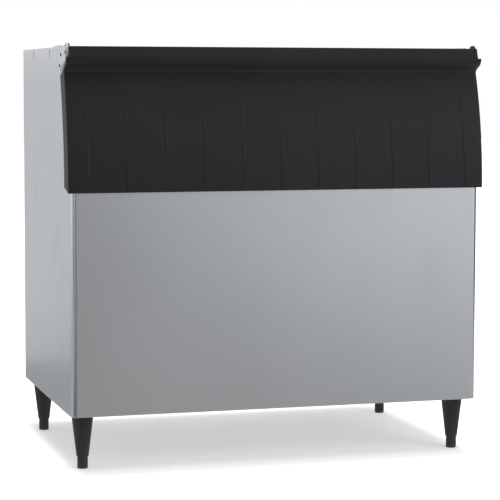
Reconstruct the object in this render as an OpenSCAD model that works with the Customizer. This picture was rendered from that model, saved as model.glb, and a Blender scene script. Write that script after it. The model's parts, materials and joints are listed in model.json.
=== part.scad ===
// Ice storage bin: an insulated steel cabinet on four adjustable legs, with a
// top-hung moulded door over the sloping front opening and an open top that an
// ice maker stands on. X runs across, Y from the front to the back, Z up.

/* [Cabinet] */
// Width over the side panels
cab_w = 1301; // [1050:1:1450]
// Depth from the front panel to the rear edge of the side panels
cab_d = 806; // [700:1:900]
// Height of the cabinet above its legs
cab_h = 1106; // [1000:1:1250]
// Thickness of the steel panels
sheet_t = 1.2; // [0.8:0.1:2]
// Radius of the front panel's upright corners
corner_r = 15; // [8:1:25]
// Length of the front panel's return along each side
return_l = 34; // [28:1:40]
// Depth of the front panel's lower flange
flange_l = 24; // [20:1:28]
// How far the back panel sits inside the rear edge
back_inset = 3; // [2.6:0.1:8]
// Distance of the back panel's screws from its edges
back_screw_in = 22; // [16:1:40]
// Thickness of the foamed walls
foam_t = 50; // [40:1:60]
// Thickness of the moulded liner
liner_t = 3; // [2:0.5:5]
// Radius of the liner's upright rear corners
liner_r = 40; // [10:1:80]
// Radius of the coves round the liner's floor
cove_r = 30; // [10:1:40]
// Depth of the front rail that the header stands against
rail_d = 60; // [45:1:90]

/* [Front opening] */
// Height of the opening frame's lower edge above the door's lower edge
frame_low = 10; // [8:1:20]
// Distance of the frame's lower edge behind the front panel
frame_in = 36; // [30:1:50]
// Lean of the opening away from upright, in degrees
frame_lean = 9.1; // [6:0.1:10]
// Thickness of the opening frame
frame_t = 8; // [5:0.5:12]
// Height of the frame's sill
sill_h = 28; // [24:1:50]
// Depth of the frame's head below the header
head_h = 42; // [36:1:60]
// Radius of the opening's corners
frame_r = 20; // [12:1:30]

/* [Door] */
// Width that the door stands out beyond each side of the cabinet
door_over = 10; // [9.5:0.5:16]
// Distance that the door's lower edge stands in front of the steel
door_proud = 13; // [10:1:25]
// Height of the door's lower edge above the cabinet's base
door_low = 672; // [600:1:700]
// Radius of the curved door face
face_r = 1110; // [900:10:1500]
// Thickness of the door skin
skin_t = 4; // [3:0.5:5]
// Thickness of the door's side skirts
skirt_t = 3.5; // [2.5:0.5:3.5]
// Depth of the side skirts behind the curved face
skirt_d = 65; // [55:1:75]
// Drop of the lip at the door's lower edge
drip_h = 12; // [8:1:16]
// Thickness of the lip at the door's lower edge
drip_t = 8; // [5:1:9]
// Thickness of the door's inner panel
panel_t = 3; // [2:0.5:4]
// Number of upright beads on the door
bead_count = 11; // [5:1:15]
// Width of a bead
bead_w = 7; // [4:0.5:12]
// Height of a bead above the face
bead_h = 2; // [1:0.5:3]
// Distance from a bead's upper end to the groove under the lip
bead_gap = 34; // [20:1:60]
// Thickness of the door gasket
gasket_t = 8; // [5:0.5:12]
// Width of the door gasket
gasket_w = 16; // [10:1:20]
// Distance of the gasket inside the frame's outer edges
gasket_in = 20; // [18:1:30]

/* [Lip along the top of the door] */
// Drop from the cabinet's top to the lip's ledge
lip_drop = 31; // [29:1:36]
// Distance of the lip's nose behind the front panel
lip_in = 4; // [0:1:6]
// Depth of the lip's ledge
lip_ledge = 4; // [3:0.5:6]
// Radius of the lip's nose
lip_r = 2.5; // [1.5:0.5:3]
// Drop from the cabinet's top to the groove under the lip
groove_drop = 77; // [76:1:82]

/* [Hinges] */
// Distance of the hinge axis behind the front panel
pin_in = 50; // [49:1:51]
// Drop from the cabinet's top to the hinge axis
pin_drop = 14; // [13:1:15]
// Radius of the hinge pins
pin_r = 5; // [3:0.5:6]
// Radius of the pin heads
pin_head_r = 9; // [7:0.5:11]
// Thickness of the pin heads
pin_head_t = 3; // [2:0.5:3]
// Length of pin inside the header
pin_deep = 10; // [6:1:14]
// Thickness of the hinge brackets
bracket_t = 3; // [2:0.5:3]
// Radius of the round bracket nose
bracket_r = 24; // [22:1:26]
// Distance from the hinge axis back to the bracket's tail
bracket_l = 92; // [84:1:110]
// Drop from the hinge axis to the bracket's lower corner
bracket_h = 46; // [40:1:56]
// Radius of the bracket's two rear corners
tail_r = 12; // [10:1:14]
// Length of the strip along the top of each bracket
strip_l = 132; // [100:1:150]
// Height of that strip
strip_h = 12; // [10:1:16]
// Height of that strip above the cabinet's top
strip_up = 4; // [2:0.5:6]
// Radius of the arm's eye
eye_r = 14; // [12:1:15]
// Half width of the arm's strap
strap_r = 10; // [8:1:11]
// Drop from the hinge axis to the arm's bend
knee_drop = 70; // [66:1:80]
// Drop from the hinge axis to the arm's foot
arm_drop = 136; // [124:1:160]
// Largest opening of the door, in degrees
open_deg = 175; // [120:1:176]
// Radius at which the stop stud stands from the hinge axis
stop_at = 19; // [18.5:0.5:20]
// Radius of the stop stud
stop_r = 3; // [2:0.5:3]

/* [Header] */
// Clearance between the header's nose and the lip that swings round it
nose_gap = 1.3; // [0.8:0.1:4]
// Distance that the header's face leans back
nose_lean = 12; // [4:1:14]
// Depth of the header from the front panel to its back
header_d = 76; // [74:1:84]
// Height of the header
header_h = 60; // [58:1:64]
// Height of the header's rear toe
toe_h = 8; // [5:1:12]
// Radius of the hinge bosses at the header's ends
boss_r = 23; // [20:1:24]
// Thickness of the hinge bosses
boss_t = 5; // [4:0.5:9]

/* [Legs] */
// Height of the legs with the feet screwed in
leg_h = 168; // [150:1:200]
// Distance of the legs from the cabinet's sides
leg_in_x = 48; // [44:1:80]
// Distance of the legs from the cabinet's front and back
leg_in_y = 80; // [60:1:110]
// Radius of a leg at its top
leg_top_r = 33.5; // [28:0.5:36]
// Radius of a leg at its lower end
leg_low_r = 19.3; // [18:0.1:24]
// Radius of an adjustable foot
foot_r = 16.2; // [14:0.1:17]
// Height of an adjustable foot below the leg
foot_h = 42; // [30:1:50]
// Radius of a foot's stem
stem_r = 8; // [6:0.5:10]
// Length of a foot's stem that stays in the leg when the foot is screwed out
stem_hold = 45; // [30:1:50]
// Distance that a foot screws out
foot_travel = 25; // [10:1:40]

/* [Fittings] */
// Thickness of the ice baffle
baffle_t = 2; // [1:0.5:3]
// Distance of the baffle's top edge below the cabinet's top
baffle_drop = 16; // [8:1:24]
// Height of the baffle's upright part
baffle_top_h = 70; // [60:1:80]
// Length of the baffle's sloping part
baffle_l = 190; // [120:1:220]
// Lean of the baffle's sloping part, in degrees
baffle_lean = 24; // [10:1:30]
// Length of the baffle's turned lower edge
baffle_turn = 12; // [8:1:16]
// Gap between the baffle and each side of the liner
baffle_gap = 8; // [4:1:20]
// Drop from the cabinet's top to the baffle's thumb screws
knob_drop = 40; // [34:1:50]
// Distance of the outer thumb screws from the liner's sides
knob_in = 120; // [60:5:200]
// Radius of a thumb screw's knurled head
knob_r = 9; // [7:0.5:11]
// Height of a thumb screw's head
knob_h = 9; // [6:0.5:12]
// Radius of the drain's threaded outlet
drain_r = 12.1; // [8:0.1:13]
// Depth of the drain's threaded outlet
drain_thread_l = 20; // [12:1:40]
// Radius of the drain's water way
drain_bore_r = 10; // [6:0.5:11]
// Thickness of the drain fitting's wall
drain_wall = 5; // [3:0.5:6]
// Distance of the drain in front of the liner's back
drain_in = 66; // [66:1:120]
// Distance from the front panel to the first strap slot
slot_first = 330; // [280:1:380]
// Spacing of the strap slots
slot_pitch = 280; // [200:10:320]
// Length of a strap slot
slot_l = 26; // [20:1:34]
// Width of a strap slot
slot_w = 10; // [8:1:14]
// Distance from the cabinet's top edge down to the strap slots
slot_drop = 5; // [4:0.5:12]
// Radius of the tapped hole behind a strap slot
slot_hole_r = 3.3; // [2.5:0.1:4]
// Height of that hole above the middle of its slot
slot_hole_up = 7; // [0:1:8]

/* [Hidden] */
$fn = 64;

// Colours
steel = [0.74, 0.75, 0.76];
zinc = [0.66, 0.68, 0.68];
bright = [0.86, 0.87, 0.88];
black = [0.09, 0.09, 0.1];
white = [0.92, 0.93, 0.93];
foam_colour = [0.93, 0.86, 0.62];
rubber = [0.16, 0.16, 0.17];

// Clearances
gap = 0.3;
fit = 0.05;
eps = 0.01;
past = 1;
beyond = 60;

// Main places
left = -1;
right = 1;
half = cab_w / 2;
door_half = half + door_over;
front_y = -(cab_d - door_proud - bead_h) / 2;
base_z = leg_h;
top_z = leg_h + cab_h;
low_z = base_z + door_low;
frame_z0 = low_z + frame_low;
steel_top = frame_z0;
frame_z1 = top_z - header_h;
sill_z = frame_z0 + sill_h;
head_z = frame_z1 - head_h;
back_face = cab_d - back_inset;

// Liner
liner_half = half - sheet_t - foam_t - liner_t;
liner_front = sheet_t + foam_t + liner_t;
liner_back = back_face - sheet_t - foam_t - liner_t;
liner_floor = base_z + sheet_t + foam_t + liner_t;
rail_back = header_d + rail_d;

// Door
curve_b = face_r - door_proud;
groove_z = top_z - groove_drop;
door_top = groove_z + skin_t;
door_floor = low_z + drip_h;
drip_slope = 2;
skirt_in = door_half - skirt_t;
skirt_top = groove_z - 11;
heel_w = 20;
lip_z = top_z - lip_drop;
lip_root = 0.5;
groove_end = [face_b(groove_z) + lip_root, groove_z];
nose_end = [lip_in + 1, lip_z - 6];
shoulder = [for (p = [[14, -1], [28, -13], [58, -36]]) [lip_in, lip_z] + p];
gasket_low = 2;
gasket_high = 3;

// Hinges
pin_at = [pin_in, top_z - pin_drop];
bracket_out = half + bracket_t;
arm_in = bracket_out + gap;
knee = door_mid(pin_at.y - knee_drop);
arm_foot = door_mid(pin_at.y - arm_drop);
arm_dir = atan2(knee.y - pin_at.y, knee.x - pin_at.x);
stop_dir = arm_dir - open_deg - asin((strap_r + stop_r + gap) / stop_at);
stop_point = pin_at + stop_at * [cos(stop_dir), sin(stop_dir)];
arm_foot_r = strap_r + 2;
arm_screw_points = [door_mid(knee.y - 16), door_mid(arm_foot.y + 5)];
bracket_splay = 8;
bracket_tail = pin_at + [bracket_l, pin_drop - tail_r];
bracket_low = pin_at + [bracket_l + bracket_splay, -bracket_h];
bracket_root = pin_at + bracket_r * [1 / 4, -5 / 6];
bracket_screw_points = [bracket_tail - [tail_r - 1, tail_r], bracket_low + [-2, 3]];
strip_lap = 30;
strip_at = [bracket_tail.x - strip_lap, top_z + strip_up - strip_h];

// Header
nose_r = norm([lip_in + lip_ledge, lip_z] - pin_at) - nose_gap;
nose_from = 203;
nose_to = 260;

// Legs, with their places as distance across and behind the front panel
leg_x = half - leg_in_x;
leg_points = [[-leg_x, leg_in_y], [leg_x, leg_in_y], [-leg_x, cab_d - leg_in_y],
    [leg_x, cab_d - leg_in_y]];
plate_edge = 2;
plate_w = 2 * (min(leg_in_x, leg_in_y) - plate_edge);
plate_t = 4;
stud_r = 6;
stud_deep = 24;
stem_l = stem_hold + foot_travel;
rim_w = 1;
rim_h = 5;
leg_chamfer = 4;
foot_edge = 2.5;
stem_edge = 2;
stem_spare = 3;

// Fittings
baffle_back = gap + baffle_t + fit;
turn_lean = 30;
flute_r = 1.5;
slot_z = top_z - slot_drop - slot_l / 2;
strap_hole_z = slot_z + slot_hole_up;
rail_t = 3;
rail_h = 40;
rail_over = 30;
drain_b = liner_back - drain_in;
drain_up = 4;
drain_out = drain_r + drain_wall;
drain_z = base_z + sheet_t + drain_out + drain_up;
flange_t = 3;
flange_r = 34;
strainer_r = 24;
strainer_t = 3;
strainer_hole_r = 2.2;
screw_r = 2.5;
screw_head_r = 5;
screw_head_t = 2.2;
screw_rim = 0.8;
arm_screw_r = 2;
arm_head_r = 4.4;
arm_head_t = 2.4;

// Distance behind the front panel of the curved face at a height, and of the frame's front
function face_b(z) = curve_b - sqrt(pow(face_r, 2) - pow(z - low_z, 2));
function frame_b(z) = frame_in + (z - frame_z0) * tan(frame_lean);

// Distance behind the front panel of the door's back at a height
function seat_b(z) = frame_b(z) - gasket_t - gap;

// Point in the middle of the door's thickness at a height
function door_mid(z) = [(face_b(z) + skin_t + seat_b(z) - panel_t) / 2, z];

// Points along a cubic curve between two ends with two handles
function cubic(p, q, r, s, n) = [for (i = [0:n]) let (t = i / n, u = 1 - t)
    u * u * u * p + 3 * u * u * t * q + 3 * u * t * t * r + t * t * t * s];

// Points round an arc from one angle to another
function arc(c, r, a0, a1, n) = [for (i = [0:n]) let (a = a0 + (a1 - a0) * i / n)
    c + r * [cos(a), sin(a)]];

// Angle that faces out of a clockwise outline where it runs in a direction
function facing(v) = atan2(v.x, -v.y);

function reversed(list) = [for (i = [len(list) - 1:-1:0]) list[i]];

// A direction turned a quarter turn to its left, at length one
function leftward(v) = [-v.y, v.x] / norm(v);

// Points beside a path of straight runs, at a distance to its left, mitred at its bends
function beside(path, d) = [for (i = [0:len(path) - 1]) let (
    j = max(i, 1), k = min(i, len(path) - 2),
    a = leftward(path[j] - path[j - 1]), b = leftward(path[k + 1] - path[k]))
    path[i] + d * (a + b) / (1 + a * b)];

// A side outline, drawn as distance behind the front panel and height, made into a bar
// of the given width across the middle of the cabinet
module across(width) {
    translate([-width / 2, front_y, 0])
        rotate([90, 0, 90])
            linear_extrude(width) children();
}

// Side outlines made into one plate at one side, from one distance off the middle to another
module at_side(side, from, to) {
    for (i = [0:$children - 1])
        translate([side == right ? from : -to, front_y, 0])
            rotate([90, 0, 90])
                linear_extrude(to - from) children(i);
}

// A plan outline, drawn as distance across and behind the front panel, between two heights
module upright(z0, z1) {
    translate([0, front_y, z0])
        linear_extrude(z1 - z0) children();
}

// A block given by its limits across, behind the front panel and in height
module block(x, b, z) {
    translate([x[0], front_y + b[0], z[0]])
        cube([x[1] - x[0], b[1] - b[0], z[1] - z[0]]);
}

// A round bar along X at one side, through a point of the side outline
module peg(side, from, to, r, at) {
    at_side(side, from, to) translate(at) circle(r);
}

// A bent ribbon of one width along a path
module ribbon(path, w) {
    polygon(concat(beside(path, w / 2), reversed(beside(path, -w / 2))));
}

// An end outline, drawn as distance across and height, made into a bar from front to back
module lengthwise(from, to) {
    translate([0, front_y + to, 0])
        rotate([90, 0, 0])
            linear_extrude(to - from) children();
}

// What a rounded corner leaves off a sharp one: the corner's point, the way in and the radius
module corner_cut(at, way, r) {
    difference() {
        translate(at + way * (r - 1) / 2) square(r + 1, center = true);
        translate(at + way * r) circle(r);
    }
}

// A slanted slab parallel to the opening frame, between two distances behind its front
module slab(d0, d1, z0, z1) {
    polygon([[frame_b(z0) + d0, z0], [frame_b(z1) + d0, z1], [frame_b(z1) + d1, z1],
        [frame_b(z0) + d1, z0]]);
}

// Plan of the front panel's outer surface with its rounded corners, back to a distance
module front_plan(inset, depth) {
    r = corner_r - inset;
    translate([-half + corner_r, corner_r]) circle(r);
    translate([half - corner_r, corner_r]) circle(r);
    translate([-half + corner_r, inset]) square([2 * (half - corner_r), depth - inset]);
    translate([-half + inset, corner_r]) square([2 * (half - inset), depth - corner_r]);
}

module front_panel() {
    color(steel) {
        upright(base_z, steel_top) difference() {
            front_plan(0, return_l);
            front_plan(sheet_t, return_l + past);
        }
        intersection() {
            upright(base_z, base_z + sheet_t) front_plan(sheet_t - eps, return_l);
            block([-half, half], [0, flange_l], [base_z, steel_top]);
        }
        upright(steel_top - sheet_t, steel_top) front_plan(sheet_t - eps, frame_in + frame_t);
    }
}

// Outline of a side panel: cut back along the opening and under the header
module side_outline() {
    polygon([[return_l + gap, base_z], [return_l + gap, steel_top],
        [frame_b(steel_top) + gap, steel_top], [frame_b(frame_z1), frame_z1],
        [frame_b(frame_z1), frame_z1 + toe_h], [header_d, frame_z1 + toe_h],
        [header_d, top_z], [cab_d, top_z], [cab_d, base_z]]);
}

module strap_slots() {
    reach = (slot_l - slot_w) / 2;
    for (i = [0, 1]) {
        b = slot_first + i * slot_pitch;
        polygon(concat(arc([b, slot_z + reach], slot_w / 2, 0, 180, 12),
            arc([b, slot_z - reach], slot_w / 2, 180, 360, 12)));
    }
}

module side_panel(side) {
    color(steel) at_side(side, half - sheet_t, half) difference() {
        side_outline();
        strap_slots();
        for (p = bracket_screw_points)
            translate(p) circle(screw_r + fit);
    }
}

module back_panel() {
    color(zinc) difference() {
        block([-half + sheet_t, half - sheet_t], [back_face - sheet_t, back_face], [base_z, top_z]);
        back_screw_pattern() cylinder(h = 4 * sheet_t, r = screw_r + fit, center = true);
        drain_axis() cylinder(h = 4 * sheet_t, r = drain_out + gap, center = true);
    }
}

// Places of the screws round the edge of the back panel, axes along Y
module back_screw_pattern() {
    w = half - sheet_t - back_screw_in;
    for (x = [-w, -half / 3, half / 3, w])
        for (z = [base_z + back_screw_in, top_z - back_screw_in])
            translate([x, front_y + back_face, z]) rotate([-90, 0, 0]) children();
    for (x = [-w, w])
        for (k = [1, 2, 3])
            translate([x, front_y + back_face, base_z + k * cab_h / 4])
                rotate([-90, 0, 0]) children();
}

module back_screws() {
    color(bright) back_screw_pattern() {
        rotate_extrude() polygon([[0, 0], [screw_head_r, 0], [screw_head_r, screw_rim],
            [screw_head_r - 2 * screw_rim, screw_head_t], [0, screw_head_t]]);
        translate([0, 0, -sheet_t]) cylinder(h = sheet_t + eps, r = screw_r);
    }
}

// The drain's outlet axis, pointing out of the back
module drain_axis() {
    translate([0, front_y + back_face, drain_z]) rotate([-90, 0, 0]) children();
}

module base_panel() {
    color(zinc) difference() {
        block([-half + sheet_t, half - sheet_t], [flange_l + gap, back_face - sheet_t],
            [base_z, base_z + sheet_t]);
        for (p = leg_points)
            translate([p.x, front_y + p.y, base_z])
                cylinder(h = 4 * sheet_t, r = stud_r + gap, center = true);
    }
}

// Side outline of everything inside the steel panels
module body_outline() {
    polygon([[sheet_t, base_z + sheet_t], [sheet_t, steel_top - sheet_t],
        [frame_in + frame_t, steel_top - sheet_t], [frame_in + frame_t, frame_z0],
        [frame_b(frame_z1) + frame_t, frame_z1], [frame_b(frame_z1), frame_z1],
        [frame_b(frame_z1), frame_z1 + toe_h], [header_d, frame_z1 + toe_h],
        [header_d, top_z - liner_t], [back_face - sheet_t, top_z - liner_t],
        [back_face - sheet_t, base_z + sheet_t]]);
}

// Side outline of the bin's hollow, grown by a wall and run out in front and on top
module hollow_outline(grow, out) {
    b = frame_t - out;
    front = liner_front - grow;
    back = liner_back + grow;
    floor_z = liner_floor - grow;
    difference() {
        polygon([[front, floor_z], [front, sill_z - grow],
            [frame_b(sill_z - grow) + b, sill_z - grow],
            [frame_b(head_z + grow) + b, head_z + grow],
            [rail_back + liner_t - grow, head_z + grow],
            [rail_back + liner_t - grow, top_z + out], [back, top_z + out], [back, floor_z]]);
        corner_cut([front, floor_z], [1, 1], cove_r + grow);
        corner_cut([back, floor_z], [-1, 1], cove_r + grow);
    }
}

// Plan outline of the bin's hollow, with rounded rear corners
module hollow_plan(grow) {
    w = liner_half + grow;
    front = frame_in - frame_t;
    back = liner_back + grow;
    difference() {
        translate([-w, front]) square([2 * w, back - front]);
        corner_cut([-w, back], [1, -1], liner_r + grow);
        corner_cut([w, back], [-1, -1], liner_r + grow);
    }
}

// End outline of the bin's hollow, with coves along its floor
module hollow_end(grow) {
    w = liner_half + grow;
    floor_z = liner_floor - grow;
    difference() {
        translate([-w, floor_z]) square([2 * w, top_z + beyond - floor_z]);
        corner_cut([-w, floor_z], [1, 1], cove_r + grow);
        corner_cut([w, floor_z], [-1, 1], cove_r + grow);
    }
}

module hollow(grow, out) {
    intersection() {
        across(2 * (liner_half + grow)) hollow_outline(grow, out);
        upright(base_z, top_z + beyond) hollow_plan(grow);
        lengthwise(0, cab_d) hollow_end(grow);
    }
}

// Room that the drain elbow takes in the foam and the liner
module drain_body(grow) {
    translate([0, front_y + drain_b, drain_z - drain_out - grow])
        cylinder(h = liner_floor - drain_z + drain_out + grow, r = drain_out + grow);
    translate([0, front_y + drain_b, drain_z])
        rotate([-90, 0, 0])
            cylinder(h = back_face - drain_b + grow, r = drain_out + grow);
}

module cabinet_foam() {
    color(foam_colour) difference() {
        upright(base_z, top_z) foam_plan();
        front_cut();
        hollow(liner_t, frame_t);
        drain_body(gap);
        leg_plate_blocks(fit);
        for (side = [left, right])
            strap_rail_block(side, fit);
    }
}

// Plan of the foam inside the front panel's rounded corners
module foam_plan() {
    front_plan(sheet_t, liner_front);
    translate([-half + sheet_t, corner_r])
        square([2 * (half - sheet_t), back_face - sheet_t - corner_r]);
}

// Everything outside the side outline of the body
module front_cut() {
    across(cab_w + 2 * past) difference() {
        translate([-beyond, base_z - beyond])
            square([cab_d + 2 * beyond, cab_h + 2 * beyond]);
        body_outline();
    }
}

module bin_liner() {
    color(white) difference() {
        union() {
            hollow(liner_t, 0);
            block([-half + sheet_t, half - sheet_t], [header_d, back_face - sheet_t],
                [top_z - liner_t, top_z]);
        }
        hollow(0, frame_t);
        translate([0, front_y + drain_b, liner_floor])
            cylinder(h = 3 * liner_t, r = drain_out + gap, center = true);
        baffle_screw_pattern() cylinder(h = 3 * liner_t, r = screw_r + fit, center = true);
    }
}

// End outline of the front opening with its rounded corners
module opening_outline() {
    difference() {
        translate([-liner_half, sill_z]) square([2 * liner_half, head_z - sill_z]);
        for (side = [left, right]) {
            corner_cut([side * liner_half, sill_z], [-side, 1], frame_r);
            corner_cut([side * liner_half, head_z], [-side, -1], frame_r);
        }
    }
}

module opening_frame() {
    color(white) difference() {
        across(cab_w - 2 * sheet_t) slab(0, frame_t, frame_z0, frame_z1);
        lengthwise(0, rail_back) opening_outline();
    }
}

// Side outline of the header: sloping face, round nose about the hinge axis, rear toe
module header_outline() {
    foot = pin_at + nose_r * [cos(nose_from), sin(nose_from)];
    polygon(concat([[header_d, top_z], [foot.x + nose_lean, top_z]],
        arc(pin_at, nose_r, nose_from, nose_to, 12),
        [[header_d - toe_h / 2, frame_z1], [frame_b(frame_z1), frame_z1],
        [frame_b(frame_z1), frame_z1 + toe_h], [header_d, frame_z1 + toe_h]]));
}

module header() {
    color(black) difference() {
        union() {
            across(cab_w) header_outline();
            for (side = [left, right])
                peg(side, half - boss_t, half, boss_r, pin_at);
        }
        for (side = [left, right])
            peg(side, half - pin_deep - past, half + past, pin_r + fit, pin_at);
    }
}

// Ice baffle, hung from the front rail inside the bin
module baffle() {
    b = rail_back + liner_t + gap + baffle_t / 2;
    z = top_z - baffle_drop;
    bend = [b, z - baffle_top_h];
    tip = bend + baffle_l * [sin(baffle_lean), -cos(baffle_lean)];
    turned = tip - baffle_turn * [cos(turn_lean), sin(turn_lean)];
    color(bright) difference() {
        across(2 * (liner_half - baffle_gap))
            ribbon([[b, z], bend, tip, turned], baffle_t);
        baffle_screw_pattern() cylinder(h = 3 * liner_t, r = screw_r + fit, center = true);
    }
}

// Places of the thumb screws that hold the baffle, axes pointing back into the bin
module baffle_screw_pattern() {
    for (x = [-liner_half + knob_in, 0, liner_half - knob_in])
        translate([x, front_y + rail_back + liner_t, top_z - knob_drop])
            rotate([-90, 0, 0]) children();
}

module baffle_screws() {
    color(bright) baffle_screw_pattern() {
        translate([0, 0, -liner_t]) cylinder(h = liner_t + baffle_back + past, r = screw_r);
        translate([0, 0, baffle_back]) difference() {
            cylinder(h = knob_h, r = knob_r);
            for (a = [0:30:330])
                rotate(a) translate([knob_r + flute_r / 2, 0, -past])
                    cylinder(h = knob_h + 2 * past, r = flute_r);
        }
    }
}

module drain_elbow() {
    color(white) difference() {
        drain_body(0);
        translate([0, front_y + drain_b, drain_z])
            cylinder(h = liner_floor - drain_z + past, r = drain_bore_r);
        translate([0, front_y + drain_b, drain_z])
            rotate([-90, 0, 0])
                cylinder(h = back_face - drain_b, r = drain_bore_r);
        drain_axis()
            translate([0, 0, -drain_thread_l])
                cylinder(h = drain_thread_l + past, r = drain_r);
    }
}

module drain_flange() {
    color(white) translate([0, front_y + drain_b, liner_floor]) rotate_extrude() polygon([
        [drain_bore_r, 0], [flange_r, 0], [flange_r, flange_t / 2], [flange_r - flange_t / 2, flange_t],
        [drain_bore_r, flange_t]]);
}

module drain_strainer() {
    color(bright) translate([0, front_y + drain_b, liner_floor + flange_t]) difference() {
        cylinder(h = strainer_t, r = strainer_r);
        for (a = [0:60:300])
            rotate(a) translate([strainer_r / 3, 0, 0])
                cylinder(h = 3 * strainer_t, r = strainer_hole_r, center = true);
        cylinder(h = 3 * strainer_t, r = strainer_hole_r, center = true);
    }
}

module strap_rail_block(side, grow) {
    at_side(side, half - sheet_t - rail_t - grow, half - sheet_t)
        translate([slot_first - rail_over - grow, top_z - liner_t - past - rail_h - grow])
            square([slot_pitch + 2 * (rail_over + grow), rail_h + 2 * grow]);
}

module strap_rail(side) {
    color(zinc) difference() {
        strap_rail_block(side, 0);
        for (i = [0, 1])
            peg(side, half - sheet_t - rail_t - past, half, slot_hole_r,
                [slot_first + i * slot_pitch, strap_hole_z]);
    }
}

module leg_plate_blocks(grow) {
    for (p = leg_points)
        translate([p.x - plate_w / 2 - grow, front_y + p.y - plate_w / 2 - grow,
            base_z + sheet_t])
            cube([plate_w + 2 * grow, plate_w + 2 * grow, plate_t + grow]);
}

module leg_plates() {
    color(zinc) difference() {
        leg_plate_blocks(0);
        for (p = leg_points)
            translate([p.x, front_y + p.y, base_z]) cylinder(h = 3 * plate_t, r = stud_r + fit);
    }
}

module leg_studs() {
    color(bright) for (p = leg_points)
        translate([p.x, front_y + p.y, base_z - stud_deep])
            cylinder(h = stud_deep + sheet_t + plate_t, r = stud_r);
}

// One tapered leg with a blind hole for its stud above and a long hole for the foot below
module leg(k) {
    p = leg_points[k];
    color(black) translate([p.x, front_y + p.y, 0]) difference() {
        rotate_extrude() polygon([[0, foot_h], [foot_r + rim_w, foot_h],
            [leg_low_r, foot_h + leg_chamfer], [leg_top_r, leg_h - rim_h - rim_w],
            [leg_top_r + rim_w, leg_h - rim_h], [leg_top_r + rim_w, leg_h - eps], [0, leg_h - eps]]);
        translate([0, 0, foot_h - past])
            cylinder(h = stem_l + past + stem_spare, r = stem_r + 2 * fit);
        translate([0, 0, leg_h - stud_deep - past])
            cylinder(h = stud_deep + 2 * past, r = stud_r + fit);
    }
}

module foot(k) {
    p = leg_points[k];
    color(black) translate([p.x, front_y + p.y, 0]) rotate_extrude() polygon([[0, 0],
        [foot_r - foot_edge, 0], [foot_r, foot_edge], [foot_r, foot_h - gap],
        [stem_r, foot_h - gap], [stem_r, foot_h + stem_l - stem_edge],
        [stem_r - stem_edge, foot_h + stem_l], [0, foot_h + stem_l]]);
}

// Outline of a hinge bracket behind its nose: a web that ends in two rounded corners
module bracket_web() {
    rear = facing(bracket_low - bracket_tail);
    below = facing(bracket_root - bracket_low);
    polygon(concat([[pin_in, top_z]], arc(bracket_tail, tail_r, 90, rear, 6),
        arc(bracket_low, tail_r, rear, below, 9), [bracket_root]));
}

module hinge_bracket(side) {
    color(bright) difference() {
        at_side(side, half, bracket_out) {
            translate(pin_at) circle(bracket_r);
            bracket_web();
            translate(strip_at) square([strip_l, strip_h]);
        }
        peg(side, half - past, bracket_out + past, pin_r + fit, pin_at);
        for (p = bracket_screw_points)
            peg(side, half - past, bracket_out + past, screw_r + fit, p);
    }
}

module bracket_screws(side) {
    color(zinc) for (p = bracket_screw_points) {
        peg(side, half - sheet_t, bracket_out + eps, screw_r, p);
        peg(side, bracket_out, bracket_out + screw_head_t, screw_head_r, p);
    }
}

module hinge_pin(side) {
    color(bright) {
        peg(side, half - pin_deep, skirt_in + gap + eps, pin_r, pin_at);
        peg(side, skirt_in + gap, skirt_in + gap + pin_head_t, pin_head_r, pin_at);
    }
}

module stop_stud(side) {
    color(bright) peg(side, bracket_out, skirt_in - gap, stop_r, stop_point);
}

// Underside of the door's lip, from its nose down to the groove
function lip_under() = cubic(nose_end, nose_end + [3, -23], groove_end + [-1.5, 19],
    groove_end, 12);

// Side outline of the lip, a curved wall that runs down into the top of the door
module lip_outline() {
    tip = [lip_in, lip_z] + lip_r * [1, -1];
    polygon(concat([groove_end + [1, -skin_t]], reversed(lip_under()), arc(tip, lip_r, 180, 90, 5),
        [[lip_in + lip_ledge, lip_z]], beside(lip_under(), skin_t),
        [groove_end + [skin_t, -skin_t]]));
}

// The disc whose rim is the curved door face, grown and moved back
module face_disc(grow, back) {
    translate([curve_b + back, low_z]) circle(face_r + grow, $fn = 256);
}

// Side outline of the whole door without its lip
module door_outline() {
    intersection() {
        face_disc(0, 0);
        polygon([[-beyond, low_z], [-beyond, groove_z], groove_end,
            [groove_end.x + skin_t, door_top], [seat_b(door_top), door_top],
            [seat_b(door_floor), door_floor], [drip_t - door_proud, door_floor],
            [drip_t - door_proud - drip_slope, low_z]]);
    }
}

// Side outline of the room inside the skin, back to a distance in front of the gasket
module core_outline(back) {
    z0 = door_floor + skin_t;
    intersection() {
        face_disc(-skin_t, 0);
        polygon([[-beyond, z0], [-beyond, groove_z], [seat_b(groove_z) - back, groove_z],
            [seat_b(z0) - back, z0]]);
    }
}

// Side outline of the skirt at each end of the door, up to the groove
module skirt_outline() {
    heel = skirt_d - door_proud - heel_w;
    slope_end = skirt_slope(skirt_top - skin_t);
    difference() {
        intersection() {
            face_disc(0, 0);
            polygon([[-beyond, low_z], [-beyond, groove_z], skirt_slope(groove_z), slope_end,
                [slope_end.x, door_floor], [heel, door_floor], [drip_t - door_proud, low_z]]);
        }
        face_disc(0, skirt_d);
    }
}

// Point on the skirt's rear slope at a height
function skirt_slope(z) = let (p = shoulder[2], q = [face_b(skirt_top) + skirt_d, skirt_top])
    p + (q - p) * (z - p.y) / (q.y - p.y);

// Side outline of the end of the lip, above the skirt
module lip_end_outline() {
    tip = [lip_in, lip_z] + lip_r * [1, -1];
    polygon(concat([groove_end + [1, -skin_t]], reversed(lip_under()), arc(tip, lip_r, 180, 90, 5),
        shoulder, [skirt_slope(groove_z), skirt_slope(groove_z) - [0, skin_t]]));
}

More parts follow.
